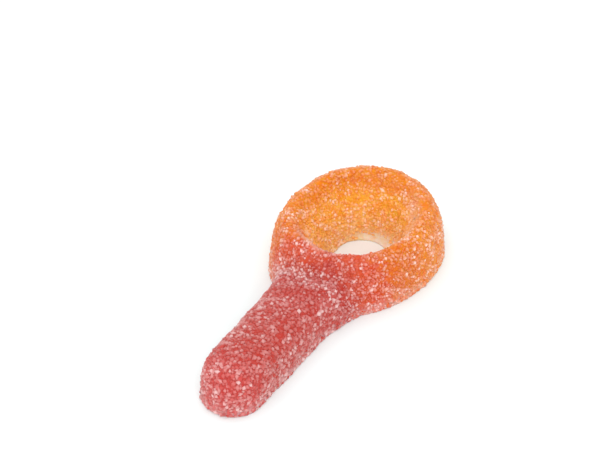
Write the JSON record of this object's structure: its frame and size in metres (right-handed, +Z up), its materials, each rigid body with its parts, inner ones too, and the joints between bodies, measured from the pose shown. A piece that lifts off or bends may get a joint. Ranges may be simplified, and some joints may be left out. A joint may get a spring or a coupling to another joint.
{
  "type": "sour chewy candy",
  "caption": "Sugared sour chewy candy shaped like a baby's dummy: an orange ring with a funnel-shaped hole and a blunt red stem, lying on its flat back.",
  "frame": {"origin": "middle of the flat back's outer box, on the surface that the candy lies on", "axes": "+Z up out of the ring's mouth, +Y from the stem's tip towards the ring, +X across the ring"},
  "size_m": [0.0275, 0.0601, 0.0112],
  "materials": {
    "gummy": "soft translucent jelly, orange in the ring and red in the stem, frosted with sugar",
    "sugar": "clear to white sugar crystals with glinting faces"
  },
  "bodies": {
    "root": {"candy": "gummy"}
  },
  "joints": []
}
